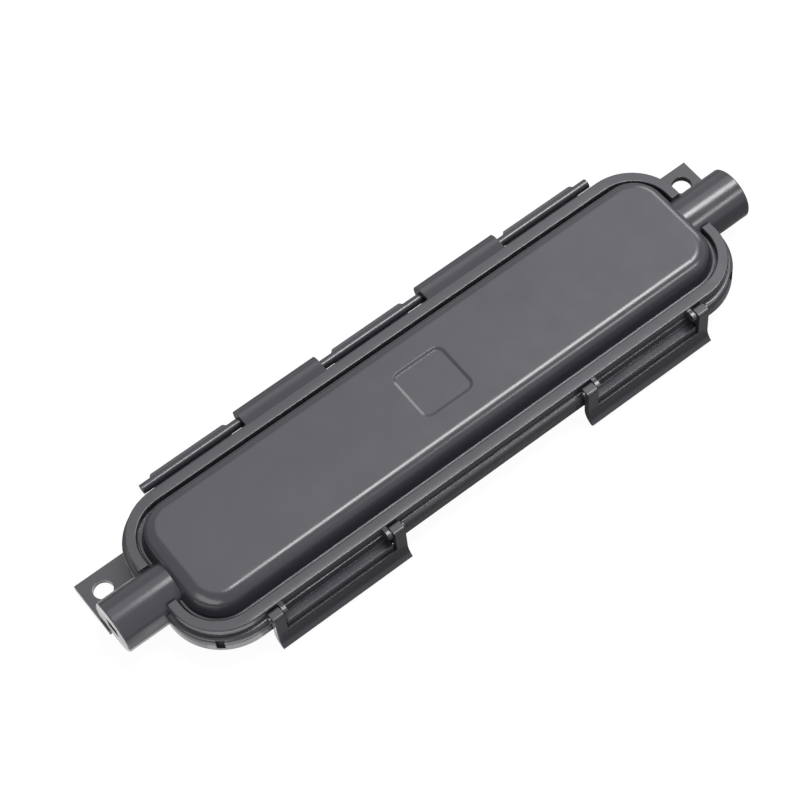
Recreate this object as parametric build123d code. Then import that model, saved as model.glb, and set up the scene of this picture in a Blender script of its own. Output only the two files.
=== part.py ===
from build123d import *
import math
import os

# Fibre connector protection box, in millimetres.
# X runs along the cable, +Y is the hinge side, -Y the latch side and +Z up.
# The origin is on the underside of the base, midway between the two cable bosses.
# Outlines are rounded rectangles centred on the origin, given by the rim's outline
# and an inset or reach from it.

# Overall outline
BOX_LENGTH = 214.0  # end face to end face of the cable bosses
BOSS_REACH = 14.0  # a boss stands out this far from the rim's end
RIM_LENGTH = BOX_LENGTH - 2 * BOSS_REACH
RIM_WIDTH = 48.6
RIM_CORNER = 15.8
PARTING_Z = 10.2  # the split between base and lid, and the cable's own height
PARTING_GAP = 0.3  # what the gasket keeps open between the two shells

# Base
HULL_INSET = 0.7  # hull outline inside the rim outline, under the flange
HULL_DRAFT = 8.0  # degrees
HULL_EDGE = 0.8  # bevelled lower edge
FLANGE_REACH = 1.4  # both flanges stand out this far from the rim outline
BASE_FLANGE_DEPTH = 3.0
CAVITY_INSET = 3.0  # cavity outline inside the rim outline
CAVITY_DRAFT = 4.0  # degrees
FLOOR = 2.0
NOTCH_WIDTH = 2.4  # prying notches at the two latch-side corners
NOTCH_DEPTH = 1.2
NOTCH_HEIGHT = 1.9  # above the parting plane, and as much below
NOTCH_ANGLE = 52.0  # degrees round the corner, from the box's end

# Lid
LID_FLANGE_HEIGHT = 2.5
LID_FLANGE_EDGE = 1.0
RIM_TOP_Z = 15.9
RIM_EDGE = 0.8
RIM_BAND = 3.6  # top of the rim on the long sides, from its outer edge to the groove
RIM_END_BAND = 3.0  # the same at the ends
RIM_INNER_EDGE = 0.35
GROOVE_CORNER = 12.2
RIM_END_GAP = 12.8  # the rim stops short on both sides of a boss
GROOVE_Z = 13.4
BEAD_STEP = 0.5  # groove between the rim band and the bead at the foot of the dome
BEAD_Z = 14.2
BEAD_WIDTH = 0.7
DOME_TOP_Z = 21.0
DOME_DRAFT = 16.0  # degrees, all round
DOME_EDGE = 4.2
DOME_WALL = 2.0
LID_CAVITY_Z = 11.7
PANEL_LENGTH = 15.6  # shallow square panel on the dome
PANEL_WIDTH = 15.4
PANEL_CORNER = 2.0
PANEL_DEPTH = 0.4

# Cable bosses and end seals
BOSS_DIAMETER = 15.7
BOSS_EDGE = 0.4
BOSS_BORE = 10.6
BOSS_END_WALL = 2.5
CABLE_SLOT_WIDTH = 4.8
CABLE_SLOT_HEIGHT = 4.0
CABLE_SLOT_CORNER = 0.6
SEAL_LENGTH = 9.0
SEAL_CLEARANCE = 0.1
SEAL_SLOT_WIDTH = 3.2  # the flat drop cable itself
SEAL_SLOT_HEIGHT = 2.1

# Mounting ears
EAR_OVERHANG = 0.4  # beyond the boss end face
EAR_INSET_Y = 3.6  # from the rim's long side to the ear's outer edge
EAR_START_Y = 3.7  # of the ear and the boss's foot, on the latch side
EAR_THICKNESS = 2.0
EAR_HOLE = 5.8
EAR_HOLE_INSET_X = 5.3  # from the boss end face
EAR_HOLE_INSET_Y = 5.65  # from the ear's outer edge
WEB_OUTER_Y = 8.25
WEB_THICKNESS = 2.4
FOOT_WALL = 1.0  # from the top of a boss's foot to its bore

# Hinge
HINGE_REACH = 5.1  # from the rim outline to the hinge's axis
HINGE_Z = 9.2
ROD_DIAMETER = 2.9
ROD_INSET = 15.2  # from the rim's end to the rod's end
ROD_CLEARANCE = 0.08  # radial, inside the knuckle
ROD_OVERHANG = 3.7  # past the outer side of a side bracket
KNUCKLE_RADIUS = 3.4
KNUCKLE_MOUTH_ANGLE = 30.0  # degrees short of straight down, where the curl ends
KNUCKLE_INNER_GAP = 5.2  # from the middle bracket to a hinge plate
KNUCKLE_OUTER_GAP = 3.5  # from a hinge plate to a side bracket
SIDE_BRACKET_WIDTH = 25.6
MID_BRACKET_WIDTH = 25.0
BRACKET_UNDER_Z = 4.6
SHELF_THICKNESS = 2.0
LIP_THICKNESS = 3.2
LIP_REACH = 2.6  # from the hinge's axis to the lip's outer face
LIP_TOP_Z = 9.0
LIP_EDGE = 0.8

# Latches
LATCH_INSET = 40.35  # from the rim's end to the latch's centre
LATCH_WIDTH = 42.8
LATCH_EAR_WIDTH = 3.4
LATCH_EAR_TOP_Z = 15.7
LATCH_EAR_EDGE = 1.0
LATCH_EAR_FRONT_EDGE = 0.8
PIVOT_REACH = 2.0  # from the rim outline to the latch's axis
PIVOT_Z = 14.4
PIN_DIAMETER = 1.9
PIN_CLEARANCE = 0.06
PIN_STICK_OUT = 0.7  # past the outer side of the ear
LUG_WIDTH = 1.3
LUG_RADIUS = 1.2
LUG_SIDE_CLEARANCE = 0.3
EAR_DEPTH_OUT = 1.7  # latch ear, from the pin's axis outward
EAR_DEPTH_IN = 1.7
LATCH_THICKNESS = 1.8
LATCH_EAR_FOOT_Z = 13.7
LATCH_EAR_SLOPE = 0.7
PLATE_BEND_Z = 5.4
LIP_FLARE_FRONT = 1.8  # the finger lip stands out this far from the plate's front face
LIP_FLARE_BACK = 1.1
LIP_FRONT_Z = 1.6
LIP_BACK_Z = 1.0
HOOK_LENGTH = 28.0
HOOK_REACH = 1.9  # from the pin's axis inward
HOOK_CLEARANCE = 0.3
HOOK_NOSE = 0.6
HOOK_HEIGHT = 2.1
CATCH_LENGTH = 35.0
CATCH_REACH = 3.0  # outward from the rim outline
CATCH_GAP = 0.4  # from the rim outline to the recess over the catch
CATCH_TOP_Z = 9.6
CATCH_RECESS_MARGIN = 0.5

# Gasket cords
GASKET_WIDTH = 1.6
GASKET_DEPTH = 1.5
GASKET_INSET = 0.1  # gasket groove inside the rim outline
GASKET_CLEARANCE = 0.05

# Cable clamps
CLAMP_INSET = 18.0  # from the rim's end to the clamp's centre
CLAMP_LENGTH = 7.0
CLAMP_WIDTH = 22.0
CLAMP_CORNER = 1.75
CLAMP_THICKNESS = 2.4
CLAMP_SCREW_Y = 7.6
CLAMP_HOLE = 2.9
CLAMP_TOOTH = 0.6
CLAMP_TOOTH_WIDTH = 3.2
CLAMP_TEETH = 3
CLAMP_SEAT_Z = 11.0
PILLAR_DIAMETER = 6.0
PAD_WIDTH = 6.4
PAD_TOP_Z = 9.1
SCREW_DIAMETER = 2.5
SCREW_LENGTH = 8.0
SCREW_HEAD_DIAMETER = 5.0
SCREW_HEAD_HEIGHT = 1.6
SCREW_PILOT_CLEARANCE = 0.02
SCREW_PILOT_SPARE = 1.6  # below the screw's tip

# Square-bodied coupler in the middle
ADAPTER_HALF_LENGTH = 13.7
ADAPTER_WIDTH = 12.9
ADAPTER_HEIGHT = 9.3
ADAPTER_FLANGE_WIDTH = 16.4
ADAPTER_FLANGE_HALF = 1.0
ADAPTER_EDGE = 0.4
PORT_WIDTH = 9.2
PORT_HEIGHT = 7.6
PORT_LEDGE = 0.7
PORT_LEDGE_THICKNESS = 0.7
KEYWAY_WIDTH = 4.4
KEYWAY_HEIGHT = 0.5
KEYWAY_LENGTH = 5.5
HOOK_PLATE_THICKNESS = 1.2
HOOK_PLATE_CLEARANCE = 0.05
FERRULE_TUBE_DIAMETER = 4.6
FERRULE_TUBE_LENGTH = 6.4
GRIP_ARM_LENGTH = 7.4
GRIP_ARM_THICKNESS = 0.9
GRIP_ARM_HEIGHT = 3.0
GRIP_ARM_Y = 3.2
SLEEVE_DIAMETER = 3.2
SLEEVE_BORE = 2.5
SLEEVE_LENGTH = 11.4
SLEEVE_SLIT = 0.4
SLEEVE_CLEARANCE = 0.05
CAP_DEPTH = 5.4
CAP_CLEARANCE = 0.15
CAP_WALL = 1.0
CAP_LIP = 1.2
CAP_LIP_SIDE = 0.8
CAP_LIP_RISE = 0.4
CAP_TAB_LENGTH = 6.0
CAP_TAB_WIDTH = 5.0
CAP_TAB_THICKNESS = 1.6
CAP_TAB_CORNER = 1.2

# Cradle and ribs
CRADLE_CLEARANCE = 0.15
CRADLE_RIB = 2.0
CRADLE_WIDTH = 20.0
CRADLE_TOP_Z = 8.6
CONNECTOR_RIB = 1.6
CONNECTOR_RIB_XS = (26.0, 44.0)
CONNECTOR_RIB_WIDTH = 20.0
CONNECTOR_RIB_TOP_Z = 9.4
CONNECTOR_NOTCH_WIDTH = 9.4
CONNECTOR_NOTCH_Z = 6.3
HOLD_DOWN_X = 8.0
HOLD_DOWN_THICKNESS = 1.6
HOLD_DOWN_WIDTH = 12.0
HOLD_DOWN_GAP = 0.25

# Sizes that follow
BASE_TOP_Z = PARTING_Z - PARTING_GAP / 2
LID_UNDER_Z = PARTING_Z + PARTING_GAP / 2
BASE_FLANGE_UNDER_Z = PARTING_Z - BASE_FLANGE_DEPTH
LID_FLANGE_TOP_Z = PARTING_Z + LID_FLANGE_HEIGHT
RIM_END_X = RIM_LENGTH / 2
RIM_SIDE_Y = RIM_WIDTH / 2
EAR_REACH_Y = RIM_SIDE_Y - EAR_INSET_Y
EAR_HOLE_X = BOX_LENGTH / 2 - EAR_HOLE_INSET_X
EAR_HOLE_Y = EAR_REACH_Y - EAR_HOLE_INSET_Y
HINGE_Y = RIM_SIDE_Y + HINGE_REACH
LIP_OUTER_Y = HINGE_Y + LIP_REACH
LIP_INNER_Y = LIP_OUTER_Y - LIP_THICKNESS
ROD_LENGTH = RIM_LENGTH - 2 * ROD_INSET
LATCH_X = RIM_END_X - LATCH_INSET
PIVOT_Y = -RIM_SIDE_Y - PIVOT_REACH
LATCH_FRONT_Y = PIVOT_Y - EAR_DEPTH_OUT
LATCH_BACK_Y = LATCH_FRONT_Y + LATCH_THICKNESS
LATCH_EAR_INNER_Y = PIVOT_Y + EAR_DEPTH_IN
HOOK_TIP_Y = PIVOT_Y + HOOK_REACH
PLATE_TOP_Z = BASE_FLANGE_UNDER_Z - HOOK_CLEARANCE  # of a latch's lower plate and its hook
CATCH_OUTER_Y = -RIM_SIDE_Y - CATCH_REACH
CATCH_INNER_Y = -RIM_SIDE_Y - CATCH_GAP
CLAMP_X = RIM_END_X - CLAMP_INSET
BOSS_END_X = BOX_LENGTH / 2
BOSS_RADIUS = BOSS_DIAMETER / 2
SIDE_BRACKET_X = (ROD_LENGTH - SIDE_BRACKET_WIDTH) / 2 - ROD_OVERHANG
KNUCKLE_INNER_X = MID_BRACKET_WIDTH / 2 + KNUCKLE_INNER_GAP
KNUCKLE_OUTER_X = SIDE_BRACKET_X - SIDE_BRACKET_WIDTH / 2 - KNUCKLE_OUTER_GAP

# Reach of the cuts
BIG = BOX_LENGTH  # past everything
OVERCUT = 1.0  # past the one face that a cut opens


def outline(inset, z):
    """The rim's outline, drawn inset (or let out, if negative) at height z."""
    length = RIM_LENGTH - 2 * inset
    width = RIM_WIDTH - 2 * inset
    return Pos(0, 0, z) * RectangleRounded(length, width, RIM_CORNER - inset)


def well_outline(inset, z):
    """The outline of the rim band's inner edge, drawn inset at height z."""
    length = RIM_LENGTH - 2 * (RIM_END_BAND + inset)
    width = RIM_WIDTH - 2 * (RIM_BAND + inset)
    return Pos(0, 0, z) * RectangleRounded(length, width, GROOVE_CORNER - inset)


def slab(inset, z_low, z_high):
    """A straight-sided slab of the rim's outline."""
    return extrude(outline(inset, z_low), amount=z_high - z_low)


def drafted(inset, z, height, draft):
    """A solid of the rim's outline that narrows as it goes up, or down for a negative height."""
    return extrude(outline(inset, z), amount=height, taper=draft)


def block(x_range, y_range, z_range):
    """A box between two values on each axis."""
    size = [high - low for low, high in (x_range, y_range, z_range)]
    middle = [(high + low) / 2 for low, high in (x_range, y_range, z_range)]
    return Pos(*middle) * Box(*size)


def strip(y_range, z_range):
    """A rectangle in the Y-Z plane between two values on each axis."""
    width, height = [high - low for low, high in (y_range, z_range)]
    middle = [(high + low) / 2 for low, high in (y_range, z_range)]
    return Pos(*middle) * Rectangle(width, height)


def bar_x(sketch, width, x):
    """A section drawn in the Y-Z plane, drawn out along X about x."""
    return Pos(x, 0, 0) * extrude(Plane.YZ * sketch, amount=width / 2, both=True)


def rod_x(radius, x_low, x_high, y, z):
    """A round bar along X."""
    return bar_x(Pos(y, z) * Circle(radius), x_high - x_low, (x_low + x_high) / 2)


def mirrored(part):
    """The part and its mirror image across the Y-Z plane."""
    return part + mirror(part, about=Plane.YZ)


def whole_boss():
    """The full round bar that both halves of the two bosses are taken from."""
    bar = rod_x(BOSS_RADIUS, -BOSS_END_X, BOSS_END_X, 0, PARTING_Z)
    return chamfer(bar.edges().filter_by(GeomType.CIRCLE), BOSS_EDGE)


def cable_way():
    """What is cut for the cable: the bore for the seals and the slot in each end wall."""
    bore_end = BOSS_END_X - BOSS_END_WALL
    bore = rod_x(BOSS_BORE / 2, -bore_end, bore_end, 0, PARTING_Z)
    slot = RectangleRounded(CABLE_SLOT_WIDTH, CABLE_SLOT_HEIGHT, CABLE_SLOT_CORNER)
    return bore + bar_x(Pos(0, PARTING_Z) * slot, BIG * 2, 0)


def below(z):
    return block((-BIG, BIG), (-BIG, BIG), (z - BIG, z))


def above(z):
    return block((-BIG, BIG), (-BIG, BIG), (z, z + BIG))


def hull_solid():
    """The base's outer body: a drafted hull under a straight flange."""
    hull = drafted(HULL_INSET, BASE_FLANGE_UNDER_Z, -BASE_FLANGE_UNDER_Z, HULL_DRAFT)
    hull = chamfer(hull.edges().group_by(Axis.Z)[0], HULL_EDGE)
    return hull + slab(-FLANGE_REACH, BASE_FLANGE_UNDER_Z, BASE_TOP_Z)


def ears():
    """The two screw ears with the web that ties each one to its boss."""
    ear_end = BOSS_END_X + EAR_OVERHANG
    ear_root = RIM_END_X - RIM_CORNER
    plate = block((ear_root, ear_end), (EAR_START_Y, EAR_REACH_Y), (0, EAR_THICKNESS))
    plate -= Pos(EAR_HOLE_X, EAR_HOLE_Y, 0) * Cylinder(EAR_HOLE / 2, EAR_THICKNESS * 4)
    web_inner_y = WEB_OUTER_Y - WEB_THICKNESS
    web = block((ear_root, BOSS_END_X), (web_inner_y, WEB_OUTER_Y), (0, BASE_TOP_Z))
    foot_top = PARTING_Z - BOSS_BORE / 2 - FOOT_WALL
    foot = block((ear_root, BOSS_END_X), (EAR_START_Y, WEB_OUTER_Y), (0, foot_top))
    return mirrored(plate + web + foot)


def hinge_brackets():
    """The moulded hinge rod on its three brackets, each with a lip outside the rod."""
    inside_wall = RIM_SIDE_Y - CAVITY_INSET
    shelf = strip((inside_wall, LIP_OUTER_Y), (BRACKET_UNDER_Z, BRACKET_UNDER_Z + SHELF_THICKNESS))
    section = shelf + strip((LIP_INNER_Y, LIP_OUTER_Y), (BRACKET_UNDER_Z, LIP_TOP_Z))
    rod = rod_x(ROD_DIAMETER / 2, -ROD_LENGTH / 2, ROD_LENGTH / 2, HINGE_Y, HINGE_Z)
    brackets = bar_x(section, MID_BRACKET_WIDTH, 0)
    for x in (-SIDE_BRACKET_X, SIDE_BRACKET_X):
        brackets += bar_x(section, SIDE_BRACKET_WIDTH, x)
    outer_edges = brackets.edges().filter_by(Axis.Z).group_by(Axis.Y)[-1]
    return chamfer(outer_edges, LIP_EDGE) + rod


def catch_bar(x):
    """The ledge that a latch hooks under."""
    return block(
        (x - CATCH_LENGTH / 2, x + CATCH_LENGTH / 2),
        (CATCH_OUTER_Y, CATCH_INNER_Y),
        (BASE_FLANGE_UNDER_Z, CATCH_TOP_Z),
    )


def catch_recess(x, z_low, z_high):
    """Room in the flanges above a catch bar, inside a latch's window."""
    half = CATCH_LENGTH / 2 + CATCH_RECESS_MARGIN
    return block((x - half, x + half), (-BIG, CATCH_INNER_Y), (z_low, z_high))


def prying_notch(side):
    """A notch in the parting line at a latch-side corner."""
    reach = RIM_CORNER + FLANGE_REACH
    centre_x = side * (RIM_END_X - RIM_CORNER)
    centre_y = -(RIM_SIDE_Y - RIM_CORNER)
    cutter = Pos(reach, 0, PARTING_Z) * Box(NOTCH_DEPTH * 2, NOTCH_WIDTH, NOTCH_HEIGHT * 2)
    turn = -NOTCH_ANGLE if side > 0 else NOTCH_ANGLE - 180
    return Pos(centre_x, centre_y, 0) * Rot(0, 0, turn) * cutter


def gasket_ring(inset, width, z_low, z_high):
    """A band that follows the rim and is parted at the two bosses."""
    ring = slab(inset, z_low, z_high) - slab(inset + width, z_low - OVERCUT, z_high + OVERCUT)
    return ring - block((-BIG, BIG), (-BOSS_RADIUS, BOSS_RADIUS), (z_low - OVERCUT, z_high + OVERCUT))


def clamp_mount(side):
    """Two screw pillars and the pad that the cable lies on."""
    x = side * CLAMP_X
    height = CLAMP_SEAT_Z - FLOOR
    half_pad = CLAMP_LENGTH / 2
    half_rib = CONNECTOR_RIB / 2
    mount = block((x - half_pad, x + half_pad), (-PAD_WIDTH / 2, PAD_WIDTH / 2), (FLOOR, PAD_TOP_Z))
    mount += block((x - half_rib, x + half_rib), (-CLAMP_SCREW_Y, CLAMP_SCREW_Y), (FLOOR, PAD_TOP_Z))
    for y in (-CLAMP_SCREW_Y, CLAMP_SCREW_Y):
        mount += Pos(x, y, FLOOR + height / 2) * Cylinder(PILLAR_DIAMETER / 2, height)
    return mount


def clamp_pilots(side):
    """Pilot holes for the clamp screws."""
    radius = SCREW_DIAMETER / 2 + SCREW_PILOT_CLEARANCE
    depth = SCREW_LENGTH - CLAMP_THICKNESS + SCREW_PILOT_SPARE
    hole = Pos(side * CLAMP_X, CLAMP_SCREW_Y, CLAMP_SEAT_Z) * Cylinder(radius, depth * 2)
    return hole + mirror(hole, about=Plane.XZ)


def adapter_cradle():
    """Two ribs that trap the coupler's flange, and the block that it stands on."""
    under_z = PARTING_Z - ADAPTER_HEIGHT / 2 - CRADLE_CLEARANCE
    slot_half = ADAPTER_FLANGE_HALF + CRADLE_CLEARANCE
    rib_out = slot_half + CRADLE_RIB
    cradle = block((-rib_out, rib_out), (-CRADLE_WIDTH / 2, CRADLE_WIDTH / 2), (FLOOR, CRADLE_TOP_Z))
    channel = ADAPTER_WIDTH / 2 + CRADLE_CLEARANCE
    cradle -= block((-BIG, BIG), (-channel, channel), (under_z, BIG))
    flange_channel = ADAPTER_FLANGE_WIDTH / 2 + CRADLE_CLEARANCE
    cradle -= block((-slot_half, slot_half), (-flange_channel, flange_channel), (under_z, BIG))
    return cradle


def connector_ribs():
    """Notched cross ribs under the two connectors."""
    ribs = Part()
    notch = CONNECTOR_NOTCH_WIDTH / 2
    for x in CONNECTOR_RIB_XS:
        rib = block(
            (x - CONNECTOR_RIB / 2, x + CONNECTOR_RIB / 2),
            (-CONNECTOR_RIB_WIDTH / 2, CONNECTOR_RIB_WIDTH / 2),
            (FLOOR, CONNECTOR_RIB_TOP_Z),
        )
        ribs += rib - block((0, BIG), (-notch, notch), (CONNECTOR_NOTCH_Z, BIG))
    return mirrored(ribs)


def base_shell():
    body = hull_solid() + (whole_boss() & below(BASE_TOP_Z)) + ears() + hinge_brackets()
    for x in (-LATCH_X, LATCH_X):
        body -= catch_recess(x, CATCH_TOP_Z, PARTING_Z)
        body += catch_bar(x)
    for side in (-1, 1):
        body -= prying_notch(side)
    body -= drafted(CAVITY_INSET, PARTING_Z, FLOOR - PARTING_Z, CAVITY_DRAFT)
    body -= cable_way()
    body -= gasket_ring(GASKET_INSET, GASKET_WIDTH, BASE_TOP_Z - GASKET_DEPTH, PARTING_Z)
    body += adapter_cradle() + connector_ribs()
    for side in (-1, 1):
        body += clamp_mount(side)
        body -= clamp_pilots(side)
    return body


def dome_solid():
    foot = well_outline(BEAD_STEP + BEAD_WIDTH, BEAD_Z)
    dome = extrude(foot, amount=DOME_TOP_Z - BEAD_Z, taper=DOME_DRAFT)
    return fillet(dome.edges().group_by(Axis.Z)[-1], DOME_EDGE)


def dome_hollow():
    foot = well_outline(BEAD_STEP + BEAD_WIDTH + DOME_WALL, LID_CAVITY_Z)
    return extrude(foot, amount=DOME_TOP_Z - DOME_WALL - LID_CAVITY_Z, taper=DOME_DRAFT)


def rim_solid():
    """The lid's flange and the raised rim band, broken at the bosses."""
    flange = slab(-FLANGE_REACH, LID_UNDER_Z, LID_FLANGE_TOP_Z)
    flange = chamfer(flange.edges().group_by(Axis.Z)[-1], LID_FLANGE_EDGE)
    rim = slab(0, LID_UNDER_Z, RIM_TOP_Z)
    rim = chamfer(rim.edges().group_by(Axis.Z)[-1], RIM_EDGE)
    rim -= extrude(well_outline(0, GROOVE_Z), amount=RIM_TOP_Z - GROOVE_Z)
    rim -= extrude(well_outline(0, RIM_TOP_Z - RIM_INNER_EDGE), amount=RIM_INNER_EDGE, taper=-45)
    half_gap = RIM_END_GAP / 2
    foot_end = RIM_END_X - RIM_END_BAND - BEAD_STEP
    for x_range in ((foot_end, BIG), (-BIG, -foot_end)):
        rim -= block(x_range, (-half_gap, half_gap), (LID_FLANGE_TOP_Z, BIG))
    bead = extrude(well_outline(BEAD_STEP, LID_UNDER_Z), amount=BEAD_Z - LID_UNDER_Z)
    return flange + rim + bead


def hinge_plates():
    """Two plates that reach over the gap and curl round the rod."""
    bore = ROD_DIAMETER / 2 + ROD_CLEARANCE
    far = KNUCKLE_RADIUS * 3
    curl_end = -far * math.tan(math.radians(KNUCKLE_MOUTH_ANGLE))
    mouth = Polyline((0, 0), (0, far), (-far, far), (-far, -far), (curl_end, -far), close=True)
    curl = Circle(KNUCKLE_RADIUS) - Circle(bore) - make_face(mouth)
    plate = strip((RIM_SIDE_Y - RIM_BAND / 2 - HINGE_Y, 0), (bore, KNUCKLE_RADIUS))
    section = Pos(HINGE_Y, HINGE_Z) * (curl + plate)
    width = KNUCKLE_OUTER_X - KNUCKLE_INNER_X
    return mirrored(bar_x(section, width, KNUCKLE_INNER_X + width / 2))


def latch_lugs(x):
    """The pair of lugs and outward stub pins that one latch turns on."""
    inner = LATCH_WIDTH / 2 - LATCH_EAR_WIDTH - LUG_SIDE_CLEARANCE
    outer = LATCH_WIDTH / 2 + PIN_STICK_OUT
    inside_wall = RIM_BAND / 2 - RIM_SIDE_Y
    arm = strip((PIVOT_Y, inside_wall), (PIVOT_Z - LUG_RADIUS, PIVOT_Z + LUG_RADIUS))
    section = arm + Pos(PIVOT_Y, PIVOT_Z) * Circle(LUG_RADIUS)
    lug = bar_x(section, LUG_WIDTH, inner - LUG_WIDTH / 2)
    lug += rod_x(PIN_DIAMETER / 2, inner - LUG_WIDTH / 2, outer, PIVOT_Y, PIVOT_Z)
    return Pos(x, 0, 0) * mirrored(lug)


def hold_downs():
    """Two ribs under the dome that keep the coupler down."""
    low = PARTING_Z + ADAPTER_HEIGHT / 2 + HOLD_DOWN_GAP
    rib = block(
        (HOLD_DOWN_X - HOLD_DOWN_THICKNESS / 2, HOLD_DOWN_X + HOLD_DOWN_THICKNESS / 2),
        (-HOLD_DOWN_WIDTH / 2, HOLD_DOWN_WIDTH / 2),
        (low, DOME_TOP_Z - DOME_WALL / 2),
    )
    return mirrored(rib)


def lid_shell():
    body = rim_solid() + dome_solid() + (whole_boss() & above(LID_UNDER_Z))
    for x in (-LATCH_X, LATCH_X):
        body -= catch_recess(x, 0, RIM_TOP_Z)
    for side in (-1, 1):
        body -= prying_notch(side)
    body -= slab(CAVITY_INSET, 0, LID_CAVITY_Z)
    body -= dome_hollow()
    body -= cable_way()
    panel = RectangleRounded(PANEL_LENGTH, PANEL_WIDTH, PANEL_CORNER)
    body -= Pos(0, 0, DOME_TOP_Z) * extrude(panel, amount=PANEL_DEPTH, both=True)
    body += hinge_plates() + hold_downs()
    for x in (-LATCH_X, LATCH_X):
        body += latch_lugs(x)
    return body


def latch_plate_section():
    """Section of the latch's lower plate: straight, then flared out as a finger lip."""
    top_back = (LATCH_BACK_Y, PLATE_TOP_Z)
    top_front = (LATCH_FRONT_Y, PLATE_TOP_Z)
    front_bend = (LATCH_FRONT_Y, PLATE_BEND_Z)
    back_bend = (LATCH_BACK_Y, PLATE_BEND_Z)
    tip_front = (LATCH_FRONT_Y - LIP_FLARE_FRONT, LIP_FRONT_Z)
    tip_back = (LATCH_FRONT_Y - LIP_FLARE_BACK, LIP_BACK_Z)
    front = Line(top_front, front_bend) + TangentArc(front_bend, tip_front, tangent=(0, -1))
    back = Line(top_back, back_bend) + TangentArc(back_bend, tip_back, tangent=(0, -1))
    return make_face(front + back + Line(tip_front, tip_back) + Line(top_back, top_front))


def latch_ear_section():
    """Section of a latch ear: a deep head round the pin and a slimmer leg."""
    head = Polyline(
        (LATCH_EAR_INNER_Y, LATCH_EAR_TOP_Z),
        (LATCH_FRONT_Y, LATCH_EAR_TOP_Z),
        (LATCH_FRONT_Y, PLATE_BEND_Z),
        (LATCH_BACK_Y, PLATE_BEND_Z),
        (LATCH_BACK_Y, LATCH_EAR_FOOT_Z - LATCH_EAR_SLOPE),
        (LATCH_EAR_INNER_Y, LATCH_EAR_FOOT_Z),
        close=True,
    )
    section = make_face(head)
    for corner, edge in ((0, LATCH_EAR_FRONT_EDGE), (-1, LATCH_EAR_EDGE)):
        section = fillet(section.vertices().group_by(Axis.Y)[-1].sort_by(Axis.X)[corner], edge)
    return section - Pos(PIVOT_Y, PIVOT_Z) * Circle(PIN_DIAMETER / 2 + PIN_CLEARANCE)


def latch(x):
    inside_plate = (LATCH_FRONT_Y + LATCH_BACK_Y) / 2
    hook = Polyline(
        (inside_plate, PLATE_TOP_Z),
        (HOOK_TIP_Y, PLATE_TOP_Z),
        (HOOK_TIP_Y, PLATE_TOP_Z - HOOK_NOSE),
        (LATCH_BACK_Y, PLATE_TOP_Z - HOOK_HEIGHT),
        (inside_plate, PLATE_TOP_Z - HOOK_HEIGHT),
        close=True,
    )
    body = bar_x(latch_plate_section(), LATCH_WIDTH, x) + bar_x(make_face(hook), HOOK_LENGTH, x)
    for side in (-1, 1):
        body += bar_x(latch_ear_section(), LATCH_EAR_WIDTH, x + side * (LATCH_WIDTH - LATCH_EAR_WIDTH) / 2)
    return body


def gasket(side):
    """One cord of the seal, on the latch side (-1) or the hinge side (1)."""
    inset = GASKET_INSET + GASKET_CLEARANCE
    low = BASE_TOP_Z - GASKET_DEPTH
    ring = gasket_ring(inset, GASKET_WIDTH - 2 * GASKET_CLEARANCE, low, LID_UNDER_Z - GASKET_CLEARANCE)
    y_range = sorted((0, side * BIG))
    return ring & block((-BIG, BIG), y_range, (0, BIG))


def end_seal(side, upper):
    """Half of the round seal in a boss, with half of the cable's slot."""
    outer = BOSS_END_X - BOSS_END_WALL - SEAL_CLEARANCE
    ends = sorted((side * outer, side * (outer - SEAL_LENGTH)))
    seal = rod_x(BOSS_BORE / 2 - SEAL_CLEARANCE, *ends, 0, PARTING_Z)
    seal -= bar_x(Pos(0, PARTING_Z) * Rectangle(SEAL_SLOT_WIDTH, SEAL_SLOT_HEIGHT), BIG * 2, 0)
    return seal & (above(LID_UNDER_Z) if upper else below(BASE_TOP_Z))


def cable_clamp(side):
    """The bar that is screwed down over the cable, toothed underneath."""
    x = side * CLAMP_X
    bar = block(
        (x - CLAMP_LENGTH / 2, x + CLAMP_LENGTH / 2),
        (-CLAMP_WIDTH / 2, CLAMP_WIDTH / 2),
        (CLAMP_SEAT_Z, CLAMP_SEAT_Z + CLAMP_THICKNESS),
    )
    bar = chamfer(bar.edges().filter_by(Axis.Z), CLAMP_CORNER)
    pitch = CLAMP_LENGTH / (CLAMP_TEETH + 1)
    for number in range(CLAMP_TEETH):
        tooth = Rot(0, 45, 0) * Box(CLAMP_TOOTH, CLAMP_TOOTH_WIDTH, CLAMP_TOOTH)
        bar += Pos(x + (number - (CLAMP_TEETH - 1) / 2) * pitch, 0, CLAMP_SEAT_Z) * tooth
    for y in (-CLAMP_SCREW_Y, CLAMP_SCREW_Y):
        bar -= Pos(x, y, CLAMP_SEAT_Z) * Cylinder(CLAMP_HOLE / 2, CLAMP_THICKNESS * 4)
    return bar


def clamp_screws(side):
    """The two screws of one clamp."""
    top = CLAMP_SEAT_Z + CLAMP_THICKNESS
    head = Pos(0, 0, top + SCREW_HEAD_HEIGHT / 2) * Cylinder(SCREW_HEAD_DIAMETER / 2, SCREW_HEAD_HEIGHT)
    screw = head + Pos(0, 0, top - SCREW_LENGTH / 2) * Cylinder(SCREW_DIAMETER / 2, SCREW_LENGTH)
    pair = [Pos(side * CLAMP_X, y, 0) * screw for y in (-CLAMP_SCREW_Y, CLAMP_SCREW_Y)]
    return Compound(children=[solid for placed in pair for solid in placed.solids()])


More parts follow.
